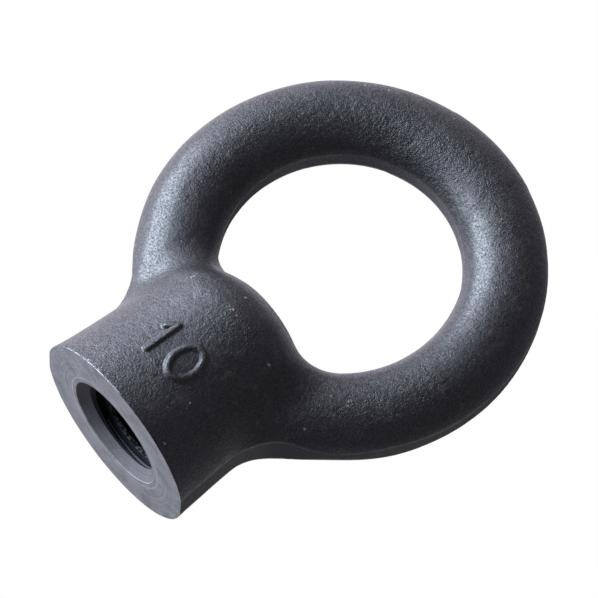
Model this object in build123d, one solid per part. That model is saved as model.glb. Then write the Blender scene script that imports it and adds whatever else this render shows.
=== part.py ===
from build123d import *
import os
from math import cos, hypot, radians, sin, sqrt, tan

# Lifting eye nut: one drop forging, a round boss with a tapped hole under an oval eye.
# Millimetres. The origin is the centre of the turned seat face at the foot of the boss,
# +Z runs up the tapped hole to the eye, and the eye lies in the XZ plane.

# Eye: an oval bar that follows an ellipse.
EYE_HALF_WIDTH = 30.0        # ellipse through the middle of the bar, along X
EYE_HALF_HEIGHT = 31.0       # the same, along Z
EYE_LOWEST = 22.6            # lowest point of that ellipse, above the seat face
BAR_ACROSS = 16.3            # as forged, measured in the plane of the eye
BAR_THICK = 15.0             # from front to back

# Arm roots: the bar grows outwards where it runs into the boss.
ROOT_START = 43.0            # degrees round the eye from its lowest point
ROOT_END = 8.0               # degrees, inside the boss
ROOT_GROWTH = 9.5            # extra depth at ROOT_END
ROOT_CURVE = 1.5             # power law from ROOT_START to ROOT_END
ROOT_SWELL = 0.25            # growth in thickness, as a share of the growth in depth

# Boss: a wall that flares to the seat, and a head that is rounded to an ellipse.
SEAT_RADIUS = 18.95
FLARE = 1.15                 # how much the seat stands out from the waist
HEAD_BASE = 25.0             # where the wall ends and the head begins
HEAD_HEIGHT = 11.8

# Blends where the arms leave the boss.
FORGED_BLEND = 9.0           # all round each arm
OUTER_BLEND = 13.0           # trimmed outline, under each arm
NOTCH_BLEND = 7.0            # trimmed outline, inside the eye

# The flash is trimmed off along the parting line, which leaves a narrow flat band.
FLASH_TRIM = 0.25            # how far the flat lies inside the forged surface

# Hole for a 3/4 inch coarse thread, ten threads to the inch, tapped right through.
TAP_DRILL_RADIUS = 8.25
COUNTERSINK_RADIUS = 11.1
COUNTERSINK_ANGLE = 90.0     # included
EXIT_BREAK = 1.6             # chamfer where the hole leaves the dome, wider than the thread

FACING = 3.0                 # stock turned off the foot to make the seat face
WAIST_RADIUS = SEAT_RADIUS - FLARE
EYE_CENTRE = EYE_LOWEST + EYE_HALF_HEIGHT
BOSS_TOP = HEAD_BASE + HEAD_HEIGHT
EYE_SECTIONS = 8             # lofted sections between ROOT_START and the crown
ROOT_SECTIONS = 5            # lofted sections between ROOT_END and ROOT_START


def bar_section(angle):
    """One section across the bar, at an angle round the eye from its lowest point."""
    turn = radians(angle)
    middle = Vector(EYE_HALF_WIDTH * sin(turn), 0, EYE_CENTRE - EYE_HALF_HEIGHT * cos(turn))
    along = Vector(EYE_HALF_WIDTH * cos(turn), 0, EYE_HALF_HEIGHT * sin(turn)).normalized()
    outwards = Vector(along.Z, 0, -along.X)
    near_root = max(0.0, (ROOT_START - angle) / (ROOT_START - ROOT_END))
    growth = ROOT_GROWTH * near_root**ROOT_CURVE
    plane = Plane(origin=middle + outwards * growth / 2, x_dir=(0, 1, 0), z_dir=along)
    return plane * Ellipse((BAR_THICK + growth * ROOT_SWELL) / 2, (BAR_ACROSS + growth) / 2)


def eye():
    """Half of the bar, lofted from inside the boss up to the crown, and its mirror image."""
    root = [ROOT_END + (ROOT_START - ROOT_END) * k / ROOT_SECTIONS for k in range(ROOT_SECTIONS)]
    rise = [ROOT_START + (180 - ROOT_START) * k / EYE_SECTIONS for k in range(EYE_SECTIONS + 1)]
    half = loft([bar_section(angle) for angle in root + rise])
    return half + mirror(half, about=Plane.YZ)


def boss_profile(inset=0.0):
    """Half of the boss from its axis outwards: foot, flared wall and rounded head."""
    wall_curve = (HEAD_BASE**2 + FLARE**2) / (2 * FLARE)
    waist = WAIST_RADIUS - inset
    foot = waist + wall_curve - sqrt(wall_curve**2 - (HEAD_BASE + FACING) ** 2)
    top = BOSS_TOP - inset
    with BuildSketch() as profile:
        with BuildLine():
            Line((0, -FACING), (foot, -FACING))
            RadiusArc((foot, -FACING), (waist, HEAD_BASE), wall_curve)
            EllipticalCenterArc((0, HEAD_BASE), waist, top - HEAD_BASE, arc_size=90)
            Line((0, top), (0, -FACING))
        make_face()
    return profile.sketch


def boss():
    return revolve(Plane.YZ * boss_profile(), axis=Axis.Z)


def junctions(body):
    """The edges where the arms meet the boss."""
    curved = body.edges().filter_by(GeomType.BSPLINE)
    beside_hole = curved.filter_by(lambda edge: abs((edge @ 0.5).X) > TAP_DRILL_RADIUS)
    return beside_hole.filter_by(lambda edge: hypot((edge @ 0.5).X, (edge @ 0.5).Y) < SEAT_RADIUS)


def blended_forging():
    body = eye() + boss()
    return body.fillet(FORGED_BLEND, junctions(body))


def corner_pair(outline, low, high):
    """The corner on each side where the bar meets the boss, between two levels."""
    corners = outline.vertices().filter_by(lambda corner: low < corner.Y < high)
    return corners.sort_by(lambda corner: abs(corner.X))[-2:]


def trimmed_outline():
    """What the trimming tool leaves, in the plane of the eye, drawn in X and Z."""
    bar = BAR_ACROSS / 2 - FLASH_TRIM
    with BuildSketch() as outline:
        with Locations((0, EYE_CENTRE)):
            Ellipse(EYE_HALF_WIDTH + bar, EYE_HALF_HEIGHT + bar)
            Ellipse(EYE_HALF_WIDTH - bar, EYE_HALF_HEIGHT - bar, mode=Mode.SUBTRACT)
        add(boss_profile(FLASH_TRIM))
        add(mirror(boss_profile(FLASH_TRIM), about=Plane.YZ))
        fillet(corner_pair(outline, 0, EYE_LOWEST), OUTER_BLEND)
        fillet(corner_pair(outline, EYE_LOWEST + bar, BOSS_TOP), NOTCH_BLEND)
    return Plane.XZ * outline.sketch


def cone(low_radius, high_radius, low, high):
    return loft([Pos(0, 0, low) * Circle(low_radius), Pos(0, 0, high) * Circle(high_radius)])


def tapped_hole():
    """The tap drill's hole, its countersink at the seat and the chamfer of its upper edge."""
    lead = (COUNTERSINK_RADIUS - TAP_DRILL_RADIUS) / tan(radians(COUNTERSINK_ANGLE / 2))
    exit_level = HEAD_BASE + HEAD_HEIGHT * sqrt(1 - (TAP_DRILL_RADIUS / WAIST_RADIUS) ** 2)
    drill = extrude(Circle(TAP_DRILL_RADIUS), amount=BOSS_TOP)
    countersink = cone(COUNTERSINK_RADIUS, TAP_DRILL_RADIUS, 0, lead)
    widest = TAP_DRILL_RADIUS + 2 * EXIT_BREAK
    exit_chamfer = cone(TAP_DRILL_RADIUS, widest, exit_level - EXIT_BREAK, exit_level + EXIT_BREAK)
    return drill + countersink + exit_chamfer


def eye_nut():
    """The blended forging, trimmed along its parting line, faced, drilled and countersunk."""
    forging = blended_forging() & extrude(trimmed_outline(), amount=2 * SEAT_RADIUS, both=True)
    stock = Pos(0, 0, -FACING) * Box(4 * SEAT_RADIUS, 4 * SEAT_RADIUS, 2 * FACING)
    return forging - stock - tapped_hole()


os.makedirs("parts", exist_ok=True)
export_step(eye_nut(), "parts/eye_nut.step")
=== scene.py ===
"""Looks for a drop-forged lifting eye nut: the forged skin, the turned seat face, the cut
thread, the raised size mark and the studio that it stands in. Lengths are in metres."""

from math import cos, radians, sin, tau

import bmesh
import bpy
from bpy.props import FloatProperty, FloatVectorProperty, IntProperty, PointerProperty
from mathutils import Matrix, Vector, noise
from mathutils.kdtree import KDTree


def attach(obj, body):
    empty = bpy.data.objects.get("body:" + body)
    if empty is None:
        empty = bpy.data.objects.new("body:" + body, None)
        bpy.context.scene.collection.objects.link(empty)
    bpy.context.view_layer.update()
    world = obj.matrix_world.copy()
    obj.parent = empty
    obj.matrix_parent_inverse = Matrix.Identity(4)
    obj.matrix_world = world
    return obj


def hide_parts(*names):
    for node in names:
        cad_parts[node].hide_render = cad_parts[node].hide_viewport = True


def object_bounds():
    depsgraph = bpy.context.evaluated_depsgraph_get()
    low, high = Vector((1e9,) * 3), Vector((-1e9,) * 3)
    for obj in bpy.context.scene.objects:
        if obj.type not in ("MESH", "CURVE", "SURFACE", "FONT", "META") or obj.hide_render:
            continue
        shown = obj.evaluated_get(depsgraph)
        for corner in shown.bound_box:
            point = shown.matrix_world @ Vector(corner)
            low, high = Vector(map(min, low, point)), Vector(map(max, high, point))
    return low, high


bl_info = {
    "name": "Lifting eye nut",
    "version": (1, 0, 0),
    "blender": (4, 5, 0),
    "location": "View3D > Sidebar > Eye nut",
    "description": "Dresses a forged lifting eye nut and sets up its studio",
    "category": "Object",
}

NODE = "eye_nut"
PIECE = "forged_eye_nut"
FORGED, TURNED, CUT = range(3)          # material places on the piece

MM = 0.001
EYE_CENTRE = 53.6 * MM                  # height of the eye's centre above the seat
OPEN_LEVEL = 40 * MM                    # a level above the boss and under the eye's bar
WELD = 0.002 * MM                       # vertices closer than this are merged
SLACK = 0.01 * MM                       # play in a test of where a face lies
FACETS = 144                            # flats round a turned tool

# Chips on the front, in millimetres: across, up and radius
CHIPS = (
    (0.3, 26.2, 0.5),
    (-0.6, 26.4, 0.3),
    (1.5, 26.1, 0.3),
    (-24.2, 79.8, 0.3),
    (-19.0, 83.2, 0.3),
    (-8.2, 88.3, 0.3),
    (9.0, 9.5, 0.25),
    (6.0, 6.7, 0.2),
    (11.8, 1.5, 0.3),
    (11.3, 25.8, 0.4),
    (20.8, 32.7, 0.3),
    (22.4, 25.4, 0.3),
    (23.9, 34.6, 0.4),
    (24.3, 33.9, 0.25),
)
SCRATCH = (-10.3, 25.3, 27.7)           # a short scratch, in millimetres: across, low end and high end

# Soft boxes: name, steps right, up and back from the middle of the part, width, watts and tint
DAYLIGHT = (0.77, 0.88, 1.04)
SOFT_BOXES = (
    ("key", (-0.345, 0.345, 0.105), 0.38, 6.6, DAYLIGHT),
    ("side", (-0.45, 0.13, 0.2), 0.3, 1.5, DAYLIGHT),
    ("low", (0.15, -0.4, -0.38), 0.35, 0.09, (1, 1, 1)),
)

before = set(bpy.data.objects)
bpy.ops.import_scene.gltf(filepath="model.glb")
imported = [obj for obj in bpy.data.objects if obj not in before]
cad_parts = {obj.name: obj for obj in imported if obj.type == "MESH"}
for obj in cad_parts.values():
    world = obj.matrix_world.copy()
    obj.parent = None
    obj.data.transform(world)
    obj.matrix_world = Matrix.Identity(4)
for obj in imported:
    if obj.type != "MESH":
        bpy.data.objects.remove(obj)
CAD_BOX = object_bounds()
RIM = CAD_BOX[1].y                      # radius of the seat's edge


# Sizes and colours that a user would change


def length(name, description, default):
    return FloatProperty(name=name, description=description, default=default, unit="LENGTH", precision=5)


def angle(name, description, degrees):
    return FloatProperty(name=name, description=description, default=radians(degrees), subtype="ANGLE")


def colour(name, description, default):
    return FloatVectorProperty(
        name=name, description=description, default=default, subtype="COLOR", size=3, min=0, max=1
    )


class ForgingSizes(bpy.types.PropertyGroup):
    """The forged skin as a shape"""

    grid: length("Grid", "Size of the mesh's faces", 0.46 * MM)
    foot: length("Foot", "Stock left under the seat face until it is turned", 1.2 * MM)
    wave_height: length("Wave height", "How far the skin wanders in and out", 0.09 * MM)
    wave_length: length("Wave length", "Distance between the skin's waves", 9 * MM)
    pebble_height: length("Pebble height", "Depth of the shot-blasted pebble", 0.010 * MM)
    pebble_length: length("Pebble length", "Distance between pebbles", 1.5 * MM)
    land: length("Land", "Widest half width of the trimmed parting line", 4 * MM)


class MarkSizes(bpy.types.PropertyGroup):
    """The raised size mark on the front of the boss"""

    height: length("Height", "Height of the digits", 7.3 * MM)
    level: length("Level", "Middle of the digits above the seat", 13.2 * MM)
    stroke: length("Stroke", "Width of a stroke", 1.2 * MM)
    proud: length("Proud", "How far the digits stand out", 0.60 * MM)
    pitch: length("Pitch", "Distance between the digits", 6.4 * MM)


class ThreadSizes(bpy.types.PropertyGroup):
    """The tapped hole, for a coarse 3/4 inch stud"""

    major: length("Major radius", "Radius at the thread's roots", 9.53 * MM)
    minor: length("Minor radius", "Radius at the thread's crests", 8.34 * MM)
    pitch: length("Pitch", "Ten threads to the inch", 2.54 * MM)
    sink: length("Countersink", "Radius of the countersink at the seat face", 11.1 * MM)
    shaded: length("Shaded", "Radius inside which the countersink is thread", 9.25 * MM)
    exit: length("Exit", "Radius of the chamfer at the top of the hole", 9.9 * MM)
    steps: IntProperty(name="Steps", description="Flats round one turn of the thread", default=72, min=12)


class WearSizes(bpy.types.PropertyGroup):
    """Dents and burr round the edge of the seat face"""

    nicks: IntProperty(name="Nicks", description="Dents along the knocked stretch", default=6, min=0)
    middle: angle("Middle", "Turn to the knocked stretch", 246)
    spread: angle("Spread", "Length of that stretch", 60)
    depth: length("Depth", "Depth of a dent", 0.22 * MM)
    reach: length("Reach", "Half the width of a dent", 1.0 * MM)


class FinishColours(bpy.types.PropertyGroup):
    """Colours of the oxide skin and of the bare steel"""

    oxide: colour("Oxide", "Black oxide skin", (0.003, 0.003, 0.004))
    dusty: colour("Dusty oxide", "Paler, greyer patches of the skin", (0.021, 0.022, 0.026))
    rubbed: colour("Rubbed oxide", "Thin, faintly brown places on the skin", (0.052, 0.048, 0.045))
    chipped: colour("Chips", "Small chips through the skin", (0.62, 0.62, 0.61))
    steel: colour("Steel", "Turned steel", (0.235, 0.237, 0.24))
    thread: colour("Thread", "Oily steel of the thread", (0.012, 0.014, 0.018))


class StudioSizes(bpy.types.PropertyGroup):
    """Camera, lights and floor"""

    azimuth: angle("Azimuth", "Camera round the part", 18.19)
    elevation: angle("Elevation", "Camera's height", -18.99)
    roll: angle("Roll", "Camera turned about its view", 53.64)
    distance: length("Distance", "Camera from the part's origin, along its view", 0.5858)
    right: length("Right", "Camera moved right", 0.03312)
    up: length("Up", "Camera moved up", 0.02406)
    lens: FloatProperty(name="Lens", description="Focal length in millimetres", default=196.6, min=1)
    floor: length("Floor", "Side of the square floor", 3.0)


GROUPS = {
    "eye_nut_forging": ForgingSizes,
    "eye_nut_mark": MarkSizes,
    "eye_nut_thread": ThreadSizes,
    "eye_nut_wear": WearSizes,
    "eye_nut_finish": FinishColours,
    "eye_nut_studio": StudioSizes,
}


# Mesh work


def mesh_object(name, shape):
    """A new object that takes over a bmesh's faces."""
    mesh = bpy.data.meshes.new(name)
    shape.to_mesh(mesh)
    shape.free()
    made = bpy.data.objects.new(name, mesh)
    bpy.context.scene.collection.objects.link(made)
    return made


def bake_modifiers(made):
    """The object keeps its shape as it is with its modifiers, and loses them."""
    ready = made.evaluated_get(bpy.context.evaluated_depsgraph_get())
    old = made.data
    made.data = bpy.data.meshes.new_from_object(ready)
    made.modifiers.clear()
    bpy.data.meshes.remove(old)


def cut(made, tool):
    """Takes a tool's closed shape away from the object."""
    step = made.modifiers.new("Cut", "BOOLEAN")
    step.operation = "DIFFERENCE"
    step.solver = "MANIFOLD"
    step.object = tool
    bake_modifiers(made)
    bpy.data.objects.remove(tool)


def finished_piece():
    """The piece, which the first operator makes."""
    made = bpy.data.objects.get(PIECE)
    if made is None:
        raise RuntimeError("build the forging first")
    return made


def smoothstep(low, high, value):
    """0 below low, 1 above high, smooth between."""
    share = min(max((value - low) / (high - low), 0), 1)
    return share * share * (3 - 2 * share)


def round_bar(radius, low, high, top_radius=None):
    """A closed bar or cone on the Z axis, between two levels."""
    shape = bmesh.new()
    bmesh.ops.create_cone(
        shape,
        cap_ends=True,
        segments=FACETS,
        radius1=radius,
        radius2=radius if top_radius is None else top_radius,
        depth=high - low,
        matrix=Matrix.Translation((0, 0, (low + high) / 2)),
    )
    return shape


def threaded_bar(sizes, low, high):
    """A closed bar with the thread on it: a zigzag line, spun once round while it rises by its pitch."""
    shape = bmesh.new()
    pitch = sizes.pitch
    flat = pitch / 8                    # the thread's root is one flat wide and its crest two
    spare = 2                           # turns past each end, which are cut off
    start = low - spare * pitch
    turns = int((high - low) / pitch) + 2 * spare
    profile = (
        (sizes.minor, 0),
        (sizes.minor, 2 * flat),
        (sizes.major, 4.5 * flat),
        (sizes.major, 5.5 * flat),
    )
    line = []
    for turn in range(turns):
        for radius, rise in profile:
            line.append(shape.verts.new((radius, 0, start + turn * pitch + rise)))
    line.append(shape.verts.new((sizes.minor, 0, start + turns * pitch)))
    edges = [shape.edges.new(pair) for pair in zip(line, line[1:])]
    bmesh.ops.spin(
        shape,
        geom=line + edges,
        axis=(0, 0, 1),
        cent=(0, 0, 0),
        angle=tau,
        dvec=(0, 0, pitch / sizes.steps),
        steps=sizes.steps,
        use_merge=False,
    )
    bmesh.ops.remove_doubles(shape, verts=shape.verts, dist=WELD)
    for level, way in ((low, -1), (high, 1)):
        bmesh.ops.bisect_plane(
            shape,
            geom=shape.verts[:] + shape.edges[:] + shape.faces[:],
            plane_co=(0, 0, level),
            plane_no=(0, 0, way),
            clear_outer=True,
        )
        open_edges = [edge for edge in shape.edges if edge.is_boundary]
        rim = [edge for edge in open_edges if abs(edge.verts[0].co.z - level) < WELD]
        bmesh.ops.edgeloop_fill(shape, edges=rim)
    bmesh.ops.recalc_face_normals(shape, faces=shape.faces)
    return shape


def digit_points(sizes):
    """Points along the strokes of a 1 and a 0, drawn across and up, at even steps."""
    half, step = sizes.height / 2, sizes.stroke / 8
    one, nought = -sizes.pitch / 2, sizes.pitch / 2
    flag_out, flag_level, nought_width = 0.45, 0.55, 0.66       # shares of half the height
    stem = ((one, -half), (one, half))
    flag = ((one, half), (one - half * flag_out, half * flag_level))
    points = []
    for start, end in (stem, flag):
        run = Vector(end) - Vector(start)
        count = int(run.length / step)
        points += [Vector(start) + run * k / count for k in range(count + 1)]
    count = int(tau * half / step)
    for turn in (tau * k / count for k in range(count)):
        points.append(Vector((nought + nought_width * half * cos(turn), half * sin(turn))))
    return points


# Operators that build the piece


class EYENUT_OT_forging(bpy.types.Operator):
    """Makes the forging's even mesh from the solid, with a little stock left on its foot"""

    bl_idname = "eyenut.forging"
    bl_label = "Forging"

    def execute(self, context):
        sizes = context.scene.eye_nut_forging
        shape = bmesh.new()
        shape.from_mesh(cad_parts[NODE].data)
        bmesh.ops.remove_doubles(shape, verts=shape.verts, dist=WELD)
        low_faces = [face for face in shape.faces if face.calc_center_median().z < SLACK]
        foot = [face for face in low_faces if face.normal.z < -0.99]
        grown = bmesh.ops.extrude_face_region(shape, geom=foot)
        moved = [item for item in grown["geom"] if isinstance(item, bmesh.types.BMVert)]
        bmesh.ops.translate(shape, verts=moved, vec=(0, 0, -sizes.foot))
        bmesh.ops.delete(shape, geom=foot, context="FACES")
        piece = mesh_object(PIECE, shape)
        for _ in (FORGED, TURNED, CUT):
            piece.data.materials.append(None)
        remesh = piece.modifiers.new("Remesh", "REMESH")
        remesh.mode = "VOXEL"
        remesh.voxel_size = sizes.grid
        bake_modifiers(piece)
        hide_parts(NODE)
        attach(piece, "root")
        return {"FINISHED"}


class EYENUT_OT_tapped_hole(bpy.types.Operator):
    """Turns the seat face and cuts the thread, its countersink and the chamfer at its top"""

    bl_idname = "eyenut.tapped_hole"
    bl_label = "Tapped hole"

    def execute(self, context):
        piece = finished_piece()
        sizes = context.scene.eye_nut_thread
        stock_radius, stock_depth = 30 * MM, 10 * MM
        under = 2 * MM                  # how far the tools reach below the seat
        tip = 7 * MM                    # small end of the two cones, inside the thread
        cut(piece, mesh_object("stock", round_bar(stock_radius, -stock_depth, 0)))
        cut(piece, mesh_object("tap", threaded_bar(sizes, -under, OPEN_LEVEL)))
        countersink = round_bar(sizes.sink + under, -under, sizes.sink - tip, tip)
        cut(piece, mesh_object("countersink", countersink))
        crown = self.dome_level(piece, sizes.exit)
        rise = OPEN_LEVEL - crown
        chamfer = round_bar(tip, crown - (sizes.exit - tip), OPEN_LEVEL, sizes.exit + rise)
        cut(piece, mesh_object("chamfer", chamfer))
        return {"FINISHED"}

    def dome_level(self, piece, radius):
        """Height of the dome at a distance from the hole's axis, clear of the thread."""
        reach, lowest = 0.3 * MM, 30 * MM
        ring = [vert.co for vert in piece.data.vertices if abs(vert.co.xy.length - radius) < reach]
        levels = [co.z for co in ring if lowest < co.z < OPEN_LEVEL]
        return sum(levels) / len(levels)


class EYENUT_OT_skin(bpy.types.Operator):
    """Sorts the faces into forged skin, turned face and cut thread, then roughens the skin"""

    bl_idname = "eyenut.skin"
    bl_label = "Forged skin"

    def execute(self, context):
        piece = finished_piece()
        sizes = context.scene.eye_nut_forging
        thread = context.scene.eye_nut_thread
        shape = bmesh.new()
        shape.from_mesh(piece.data)
        bmesh.ops.remove_doubles(shape, verts=shape.verts, dist=2 * WELD)
        self.split_countersink(shape, thread)
        self.sort_faces(shape, thread)
        seat = [face for face in shape.faces if face.calc_center_median().z < WELD]
        bmesh.ops.inset_region(shape, faces=seat, thickness=0.5 * MM, use_even_offset=True)
        shape.normal_update()
        land = self.mark_land(shape, sizes)
        self.roughen(shape, sizes, thread, land)
        self.shade_smooth(shape)
        shape.to_mesh(piece.data)
        shape.free()
        return {"FINISHED"}

    def mark_land(self, shape, sizes):
        """Writes how much each vertex belongs to the flat land to a layer, and gives the layer back."""
        land = shape.verts.layers.float.new("land")
        on_land, off_land = 0.03, 0.12      # how far a normal leans to the front or back
        fade_start = 0.7 * sizes.land
        for vert in shape.verts:
            flat = 1 - smoothstep(on_land, off_land, abs(vert.normal.y))
            vert[land] = flat * (1 - smoothstep(fade_start, sizes.land, abs(vert.co.y)))
        return land

    def roughen(self, shape, sizes, thread, land):
        """Moves the forged skin in by its waves and pebble, and leaves what was machined."""
        machined = {vert for face in shape.faces if face.material_index for vert in face.verts}
        share_kept = 0.9
        moves = []
        for vert in shape.verts:
            if vert in machined:
                continue
            wave = sizes.wave_height * noise.noise(vert.co / sizes.wave_length)
            pebble = sizes.pebble_height * noise.noise(vert.co / sizes.pebble_length) * (1 - vert[land])
            depth = self.skin_share(vert.co, thread) * (wave + pebble - sizes.wave_height)
            moves.append((vert, vert.normal * depth))
        for vert, move in moves:
            vert.co += move * share_kept

    def skin_share(self, place, thread):
        """0 at the seat's edge and round the chamfer, 1 away from them."""
        boss_top, run_in = 36 * MM, 1.5 * MM
        seat_edge, full_skin = 0.2 * MM, 2 * MM
        from_chamfer = max(place.xy.length, boss_top - place.z)
        from_seat = smoothstep(seat_edge, full_skin, place.z)
        return from_seat * smoothstep(thread.exit, thread.exit + run_in, from_chamfer)

    def shade_smooth(self, shape):
        """Shades every face smooth, with sharp corners only where something was machined."""
        corner = radians(25)
        for edge in shape.edges:
            machined = [face for face in edge.link_faces if face.material_index]
            edge.smooth = not machined or edge.calc_face_angle(0) < corner
        for face in shape.faces:
            face.smooth = True

    def split_countersink(self, shape, thread):
        """Divides the countersink's faces at the radius where the thread takes over."""
        level, highest = thread.sink - thread.shaded, 3 * MM
        cone = [face for face in shape.faces if face.calc_center_median().xy.length < thread.sink]
        cone = [face for face in cone if SLACK < face.calc_center_median().z < highest]
        parts = list(dict.fromkeys(part for face in cone for part in (face, *face.edges, *face.verts)))
        bmesh.ops.bisect_plane(shape, geom=parts, plane_co=(0, 0, level), plane_no=(0, 0, 1))

    def sort_faces(self, shape, thread):
        """Gives each face its material: the seat and countersink, the thread and chamfer, or the skin."""
        sink_top = 3 * MM
        widest = thread.exit + 0.3 * MM     # the chamfer's edge wanders, because the dome isn't level
        for face in shape.faces:
            middle = face.calc_center_median()
            radius = middle.xy.length
            in_sink = thread.shaded < radius < thread.sink + SLACK and middle.z < sink_top
            looks_in = face.normal.xy.dot(middle.xy) < 0
            if middle.z < WELD or in_sink:
                face.material_index = TURNED
            elif radius < widest and middle.z < OPEN_LEVEL and looks_in:
                face.material_index = CUT
            else:
                face.material_index = FORGED


class EYENUT_OT_size_mark(bpy.types.Operator):
    """Raises the size mark on the front of the boss, with soft edges"""

    bl_idname = "eyenut.size_mark"
    bl_label = "Size mark"

    def execute(self, context):
        piece = finished_piece()
        sizes = context.scene.eye_nut_mark
        shape = bmesh.new()
        shape.from_mesh(piece.data)
        points = digit_points(sizes)
        tree = KDTree(len(points))
        for place, point in enumerate(points):
            tree.insert((point.x, 0, point.y), place)
        tree.balance()
        front = -10 * MM                # the mark lies further forward than this
        top, foot = 0.15 * sizes.stroke, 0.75 * sizes.stroke    # where a stroke's side starts and ends

        def distance(co):
            return tree.find((co.x, 0, co.z - sizes.level))[2]

        def near_mark(co):
            return co.y < front and distance(co) < sizes.stroke

        edges = [edge for edge in shape.edges if near_mark(edge.verts[0].co) or near_mark(edge.verts[1].co)]
        bmesh.ops.subdivide_edges(shape, edges=edges, cuts=2, use_grid_fill=True)
        bmesh.ops.triangulate(shape, faces=[face for face in shape.faces if len(face.verts) > 4])
        for vert in shape.verts:
            if near_mark(vert.co):
                vert.co.y -= sizes.proud * (1 - smoothstep(top, foot, distance(vert.co)))
        for face in shape.faces:
            face.smooth = True
        shape.to_mesh(piece.data)
        shape.free()
        return {"FINISHED"}


class EYENUT_OT_wear(bpy.types.Operator):
    """Dents the sharp edge round the seat face in a few places"""

    bl_idname = "eyenut.wear"
    bl_label = "Wear"

    def execute(self, context):
        piece = finished_piece()
        sizes = context.scene.eye_nut_wear
        along, across = 0.618034, 0.37      # steps that set the dents unevenly and vary their sizes
        smallest, growth = 0.45, 0.5        # shares of the reach
        lift = 0.6                          # a dent's push up for its push in
        for vert in piece.data.vertices:
            if vert.co.z > sizes.reach or vert.co.xy.length < RIM - sizes.reach:
                continue
            for nick in range(sizes.nicks):
                turn = sizes.middle + sizes.spread * ((nick * along) % 1 - 0.5)
                place = Vector((RIM * cos(turn), RIM * sin(turn), 0))
                scale = smallest + growth * ((nick * across) % 1)
                share = 1 - smoothstep(0, sizes.reach * scale, (vert.co - place).length)
                vert.co += share * sizes.depth * scale * Vector((-cos(turn), -sin(turn), lift))
        return {"FINISHED"}


# Materials


class Term:
    """A shader socket that can be used in sums."""

    def __init__(self, tree, socket):
        self.tree, self.socket = tree, socket

    def join(self, operation, other, swap=False):
        node = self.tree.nodes.new("ShaderNodeMath")
        node.operation = operation
        for place, value in enumerate((other, self) if swap else (self, other)):
            if isinstance(value, Term):
                self.tree.links.new(value.socket, node.inputs[place])
            else:
                node.inputs[place].default_value = value
        return Term(self.tree, node.outputs[0])

    def __add__(self, other):
        return self.join("ADD", other)

    def __sub__(self, other):
        return self.join("SUBTRACT", other)

    def __rsub__(self, other):
        return self.join("SUBTRACT", other, swap=True)

    def __mul__(self, other):
        return self.join("MULTIPLY", other)

    def __pow__(self, other):
        return self.join("POWER", other)

    __radd__, __rmul__ = __add__, __mul__

    def ramp(self, low, high):
        """0 below low, 1 above high, smooth between."""
        node = self.tree.nodes.new("ShaderNodeMapRange")
        node.interpolation_type = "SMOOTHSTEP"
        self.tree.links.new(self.socket, node.inputs["Value"])
        node.inputs["From Min"].default_value = low
        node.inputs["From Max"].default_value = high
        return Term(self.tree, node.outputs["Result"])


class Shader:
    """A material's nodes, with its principled surface already joined up."""

    def __init__(self, name):
        self.material = bpy.data.materials.new(name)
        self.material.use_nodes = True
        self.tree = self.material.node_tree
        self.surface = self.tree.nodes["Principled BSDF"]
        self.place = self.node("ShaderNodeTexCoord")["Object"]

    def node(self, kind, settings=None, **sockets):
        """Adds a node, applies its settings, sets or links its sockets and gives back its outputs."""
        made = self.tree.nodes.new(kind)
        for name, value in (settings or {}).items():
            setattr(made, name, value)
        for name, value in sockets.items():
            place = made.inputs[name.replace("_", " ")]
            if isinstance(value, Term):
                self.tree.links.new(value.socket, place)
            else:
                place.default_value = value
        return {socket.name: Term(self.tree, socket) for socket in made.outputs if socket.enabled}

    def noise(self, per_mm, detail=2.0, roughness=0.5, over=None):
        """Noise with a number of waves to the millimetre, over the object's places or another vector."""
        place = self.place if over is None else over
        made = self.node(
            "ShaderNodeTexNoise", Vector=place, Scale=per_mm / MM, Detail=detail, Roughness=roughness
        )
        return made["Fac"]

    def mix(self, share, low, high):
        """Between two colours."""
        node = self.tree.nodes.new("ShaderNodeMix")
        node.data_type = "RGBA"
        self.tree.links.new(share.socket, node.inputs["Factor"])
        for socket, value in ((node.inputs[6], low), (node.inputs[7], high)):
            if isinstance(value, Term):
                self.tree.links.new(value.socket, socket)
            else:
                socket.default_value = (*value, 1)
        return Term(self.tree, node.outputs[2])

    def bump(self, height, depth, strength, under=None):
        """A normal from a height of 0 to 1, for a depth in metres."""
        node = self.node("ShaderNodeBump", Height=height, Distance=depth, Strength=strength)["Normal"]
        if under is not None:
            self.tree.links.new(under.socket, node.socket.node.inputs["Normal"])
        return node

    def dress(self, **sockets):
        """Sets or links the surface's sockets, and gives back the material."""
        for name, value in sockets.items():
            socket = self.surface.inputs[name.replace("_", " ")]
            if isinstance(value, Term):
                self.tree.links.new(value.socket, socket)
            elif isinstance(value, tuple):
                socket.default_value = (*value, 1)
            else:
                socket.default_value = value
        return self.material

    def axes(self):
        parts = self.node("ShaderNodeSeparateXYZ", Vector=self.place)
        return parts["X"], parts["Y"], parts["Z"]


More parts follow.
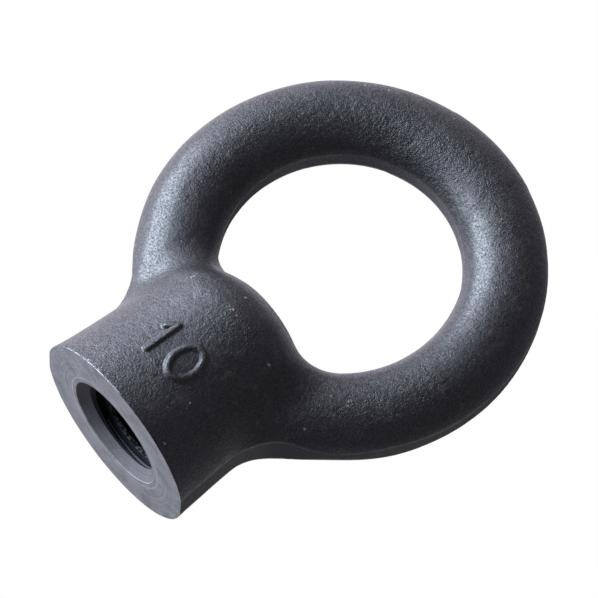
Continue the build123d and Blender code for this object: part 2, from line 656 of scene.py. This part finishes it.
def oxide_skin(colours, wear):
    """Black oxide on shot-blasted forged steel, with less pebble and less gloss on the trimmed land."""
    skin = Shader("black_oxide_skin")
    x, y, z = skin.axes()
    land = skin.node("ShaderNodeAttribute", {"attribute_name": "land"})["Fac"].ramp(0.3, 0.9)
    patches = skin.noise(0.09, detail=3).ramp(0.35, 0.68)
    lumps = skin.noise(0.9, detail=2)
    grain = skin.noise(2.3, detail=3, roughness=0.65)
    fine = skin.noise(4.6, detail=2)
    sparkle = skin.noise(3.0, detail=2, roughness=0.6).ramp(0.32, 0.72)
    specks = skin.noise(0.75, detail=1).ramp(0.775, 0.80) * grain.ramp(0.45, 0.6)
    scuffs = skin.noise(0.4, detail=5, roughness=0.72).ramp(0.5, 0.7)
    scuffs = scuffs * (lumps.ramp(0.4, 0.6) * 0.5 + grain.ramp(0.35, 0.6) * 0.6)
    burr = knocked_edge(x, y, z, wear) * lumps.ramp(0.32, 0.45)
    # Painted reflection: the land inside the top of the eye is made paler and more metallic, as if lit from
    # below
    painted_reflection = eye_top_inside(x, z) * land * grain.ramp(0.3, 0.6)
    mottle = patches * 0.3 + grain.ramp(0.35, 0.65) * 0.45 + fine.ramp(0.35, 0.65) * 0.25
    base = skin.mix(mottle, tuple(colours.oxide), tuple(colours.dusty))
    base = skin.mix(scuffs, base, tuple(colours.rubbed))
    base = skin.mix(specks * 0.4, base, tuple(colours.chipped))
    base = skin.mix(chips(x, y, z) * grain.ramp(0.44, 0.56) * 0.5, base, tuple(colours.chipped))
    base = skin.mix(burr * (0.18 + grain.ramp(0.35, 0.55) * 0.27), base, tuple(colours.chipped))
    base = skin.mix(land * 0.05 + painted_reflection * 0.4, base, tuple(colours.steel))
    height = (lumps * 0.55 + grain * 0.45) * (1 - land * 0.7) * (1 - burr * 0.6)
    normal = skin.bump(height, 0.42 * MM, strength=0.9)
    normal = skin.bump(fine, 0.06 * MM, strength=0.9, under=normal)
    return skin.dress(
        Base_Color=base,
        Metallic=0.1 + burr * 0.2 + painted_reflection * 0.5,
        Roughness=0.19 + fine * 0.12 + grain * 0.16 + patches * 0.05 + land * 0.25,
        Coat_Weight=sparkle * (1 - land * 0.8),
        Coat_Roughness=0.29,
        Normal=normal,
    )


def step_length(aside, above):
    """Length of a step that goes aside and above."""
    return (aside * aside + above * above) ** 0.5


def knocked_edge(x, y, z, wear):
    """1 just above the knocked stretch of the seat's edge, 0 elsewhere."""
    towards = x * cos(wear.middle) + y * sin(wear.middle)
    stretch = towards.ramp(RIM * cos(wear.spread / 2), RIM).ramp(0, 0.3)
    return stretch * z.ramp(0.26 * MM, 0.10 * MM)


def eye_top_inside(x, z):
    """1 on the inside of the eye in its upper part, where the land gets a painted reflection, 0 elsewhere.
    """
    inside = step_length(x, z - EYE_CENTRE).ramp(25.5 * MM, 24 * MM)
    return inside * z.ramp(45 * MM, 62 * MM)


def chips(x, y, z):
    """1 on the chips and the scratch on the front of the forging, 0 elsewhere."""
    column, low, high = (size * MM for size in SCRATCH)
    aside = (x - column) * (x - column)
    width, core, taper = 0.16 * MM, 0.04 * MM, 0.3 * MM
    ends = z.ramp(low, low + taper) * z.ramp(high, high - taper)
    marks = aside.ramp(width * width, core * core) * ends
    for across, level, radius in CHIPS:
        away = step_length(x - across * MM, z - level * MM)
        marks = marks + away.ramp(radius * MM, 0.5 * radius * MM)
    return marks * y.ramp(-2 * MM, -5 * MM)


def shades(base, *shares):
    """A colour made darker or lighter by each share."""
    return [tuple(share * part for part in base) for share in shares]


def turned_steel(colours):
    """Turned steel with rings round the hole, a painted highlight ring round the countersink, a dull
    countersink.
    """
    face = Shader("turned_steel")
    x, y, z = face.axes()
    radius = step_length(x, y)
    sink = z.ramp(0.02 * MM, 0.2 * MM)
    across = face.node("ShaderNodeCombineXYZ", X=radius, Y=z)["Vector"]
    rings = face.noise(2.4, detail=3, over=across)
    stains = face.noise(0.25, detail=5, roughness=0.6)
    # Painted highlight: a thin paler ring a little outside the countersink, standing in for an edge
    # catching light
    edge_highlight = radius.ramp(11.9 * MM, 12.1 * MM) * radius.ramp(12.5 * MM, 12.2 * MM)
    grain = face.noise(2.6, detail=2)
    shade = rings.ramp(0.3, 0.7) * stains.ramp(0.3, 0.6) * 0.8 + stains * 0.2 + grain.ramp(0.3, 0.7) * 0.25
    dark, light, dull = shades(colours.steel, 0.5, 1.4, 0.2)
    base = face.mix(shade, dark, light)
    base = face.mix(edge_highlight * 0.35, base, tuple(colours.chipped))
    base = face.mix(sink * 0.75, base, dull)
    normal = face.bump(rings, 0.05 * MM, strength=0.7)
    normal = face.bump(grain, 0.05 * MM, strength=0.7, under=normal)
    return face.dress(
        Base_Color=base,
        Metallic=0.35 - sink * 0.3,
        Roughness=0.45 + stains * 0.2 + sink * 0.1,
        Normal=normal,
    )


def cut_thread(colours, sizes):
    """Dark, oily steel of the thread, with a painted highlight on the crests."""
    thread = Shader("cut_thread")
    x, y, _ = thread.axes()
    grain = thread.noise(1.5, detail=3)
    # Painted highlight: the crests are made paler and more metallic, standing in for edges catching light
    crest = step_length(x, y).ramp(sizes.minor + 0.12 * MM, sizes.minor + 0.04 * MM)
    crest = crest * grain.ramp(0.45, 0.6)
    dark, plain = shades(colours.thread, 0.6, 1)
    base = thread.mix(grain, dark, plain)
    base = thread.mix(crest * 0.7, base, tuple(colours.steel))
    return thread.dress(
        Base_Color=base,
        Metallic=0.1 + crest * 0.6,
        Specular_IOR_Level=0.12,
        Roughness=0.25 + grain * 0.15,
        Normal=thread.bump(grain, 0.03 * MM, strength=0.5),
    )


class EYENUT_OT_finishes(bpy.types.Operator):
    """Gives the forging its oxide skin, its turned face and its thread"""

    bl_idname = "eyenut.finishes"
    bl_label = "Finishes"

    def execute(self, context):
        colours = context.scene.eye_nut_finish
        kept = finished_piece().data.materials
        kept[FORGED] = oxide_skin(colours, context.scene.eye_nut_wear)
        kept[TURNED] = turned_steel(colours)
        kept[CUT] = cut_thread(colours, context.scene.eye_nut_thread)
        return {"FINISHED"}


# Studio


def camera_axes(studio):
    """The camera's right, up and back directions, as fitted to how the part is held."""
    turn, lift = studio.azimuth, studio.elevation
    back = Vector((sin(turn) * cos(lift), -cos(turn) * cos(lift), sin(lift)))
    level = Vector((cos(turn), sin(turn), 0))
    over = back.cross(level)
    right = level * cos(studio.roll) + over * sin(studio.roll)
    up = over * cos(studio.roll) - level * sin(studio.roll)
    return right, up, back


def area_light(name, place, aim, width, power, tint):
    """A square soft box that looks at a point."""
    lamp = bpy.data.lights.new(name, "AREA")
    lamp.shape = "SQUARE"
    lamp.size = width
    lamp.energy = power
    lamp.color = tint
    made = bpy.data.objects.new(name, lamp)
    made.location = place
    made.rotation_euler = (aim - place).to_track_quat("-Z", "Y").to_euler()
    bpy.context.scene.collection.objects.link(made)


def floor_material():
    """Pale from above, with a slight glow, and clear from below, so the part can be seen through it."""
    paint = Shader("pale_floor")
    paint.dress(
        Base_Color=(0.6, 0.64, 0.56),
        Roughness=0.9,
        Emission_Color=(1, 1, 1),
        Emission_Strength=0.35,
    )
    clear = paint.tree.nodes.new("ShaderNodeBsdfTransparent")
    both = paint.tree.nodes.new("ShaderNodeMixShader")
    under = paint.node("ShaderNodeNewGeometry")["Backfacing"]
    paint.tree.links.new(under.socket, both.inputs[0])
    paint.tree.links.new(paint.surface.outputs[0], both.inputs[1])
    paint.tree.links.new(clear.outputs[0], both.inputs[2])
    paint.tree.links.new(both.outputs[0], paint.tree.nodes["Material Output"].inputs["Surface"])
    return paint.material


def white_world(dim_side):
    """White where the camera looks past the part. As light it is brightest away from its dim side."""
    world = bpy.data.worlds.new("studio")
    world.use_nodes = True
    tree = world.node_tree
    light = tree.nodes["Background"]
    light.inputs["Color"].default_value = (0.98, 0.93, 1.08, 1)
    place = tree.nodes.new("ShaderNodeTexCoord").outputs["Generated"]
    facing = tree.nodes.new("ShaderNodeVectorMath")
    facing.operation = "DOT_PRODUCT"
    facing.inputs[1].default_value = dim_side.normalized()
    tree.links.new(place, facing.inputs[0])
    turned = Term(tree, facing.outputs["Value"])
    dimmest, bright, brightest = 0.21, 0.68, 0.4
    strength = dimmest + turned.ramp(0.1, -0.8) * bright + turned.ramp(-0.6, -0.95) * brightest
    tree.links.new(strength.socket, light.inputs["Strength"])
    seen = tree.nodes.new("ShaderNodeBackground")
    seen.inputs["Strength"].default_value = 1.0
    seen.inputs["Color"].default_value = (1, 1, 1, 1)
    ray = tree.nodes.new("ShaderNodeLightPath")
    both = tree.nodes.new("ShaderNodeMixShader")
    tree.links.new(ray.outputs["Is Camera Ray"], both.inputs[0])
    tree.links.new(light.outputs[0], both.inputs[1])
    tree.links.new(seen.outputs[0], both.inputs[2])
    tree.links.new(both.outputs[0], tree.nodes["World Output"].inputs["Surface"])
    return world


class EYENUT_OT_studio(bpy.types.Operator):
    """Sets up the floor, the white surroundings, the lights and the camera"""

    bl_idname = "eyenut.studio"
    bl_label = "Studio"

    def execute(self, context):
        studio = context.scene.eye_nut_studio
        right, up, back = camera_axes(studio)
        middle = (CAD_BOX[0] + CAD_BOX[1]) / 2
        self.camera(context, studio, right, up, back)
        for name, (across, above, behind), width, power, tint in SOFT_BOXES:
            place = middle + across * right + above * up + behind * back
            area_light(name, place, middle, width, power, tint)
        context.scene.world = white_world(0.45 * back + 0.7 * right - 0.75 * up)
        context.scene.view_settings.view_transform = "Standard"
        self.floor(studio)
        return {"FINISHED"}

    def floor(self, studio):
        """A square floor that only the camera sees."""
        gap = 0.05 * MM
        shape = bmesh.new()
        bmesh.ops.create_grid(shape, x_segments=1, y_segments=1, size=studio.floor / 2)
        bmesh.ops.translate(shape, verts=shape.verts, vec=(0, 0, CAD_BOX[0].z - gap))
        floor = mesh_object("floor", shape)
        floor.data.materials.append(floor_material())
        floor.visible_diffuse = False
        floor.visible_glossy = False
        floor.visible_shadow = False
        floor.visible_transmission = False

    def camera(self, context, studio, right, up, back):
        """A long lens, placed and turned as the studio's sizes say."""
        lens = bpy.data.cameras.new("camera")
        lens.sensor_width = 36
        lens.lens = studio.lens
        lens.clip_start = 0.01
        lens.clip_end = 10
        made = bpy.data.objects.new("camera", lens)
        place = studio.right * right + studio.up * up + studio.distance * back
        made.matrix_world = Matrix.Translation(place) @ Matrix((right, up, back)).transposed().to_4x4()
        context.scene.collection.objects.link(made)
        context.scene.camera = made


STEPS = (
    EYENUT_OT_forging,
    EYENUT_OT_tapped_hole,
    EYENUT_OT_skin,
    EYENUT_OT_size_mark,
    EYENUT_OT_wear,
    EYENUT_OT_finishes,
    EYENUT_OT_studio,
)


class EYENUT_PT_sidebar(bpy.types.Panel):
    """Lists the sizes, the colours and the steps in order"""

    bl_idname = "EYENUT_PT_sidebar"
    bl_label = "Eye nut"
    bl_space_type = "VIEW_3D"
    bl_region_type = "UI"
    bl_category = "Eye nut"

    def draw(self, context):
        for step in STEPS:
            self.layout.operator(step.bl_idname)
        for name, group in GROUPS.items():
            column = self.layout.column()
            column.label(text=group.__doc__)
            for size in group.__annotations__:
                column.prop(getattr(context.scene, name), size)


def register():
    for group in GROUPS.values():
        bpy.utils.register_class(group)
    for name, group in GROUPS.items():
        setattr(bpy.types.Scene, name, PointerProperty(type=group))
    for step in (*STEPS, EYENUT_PT_sidebar):
        bpy.utils.register_class(step)


def unregister():
    for step in (EYENUT_PT_sidebar, *reversed(STEPS)):
        bpy.utils.unregister_class(step)
    for name, group in GROUPS.items():
        delattr(bpy.types.Scene, name)
        bpy.utils.unregister_class(group)


def main():
    register()
    for step in ("forging", "tapped_hole", "skin", "size_mark", "wear", "finishes", "studio"):
        getattr(bpy.ops.eyenut, step)()


if __name__ == "__main__":
    main()
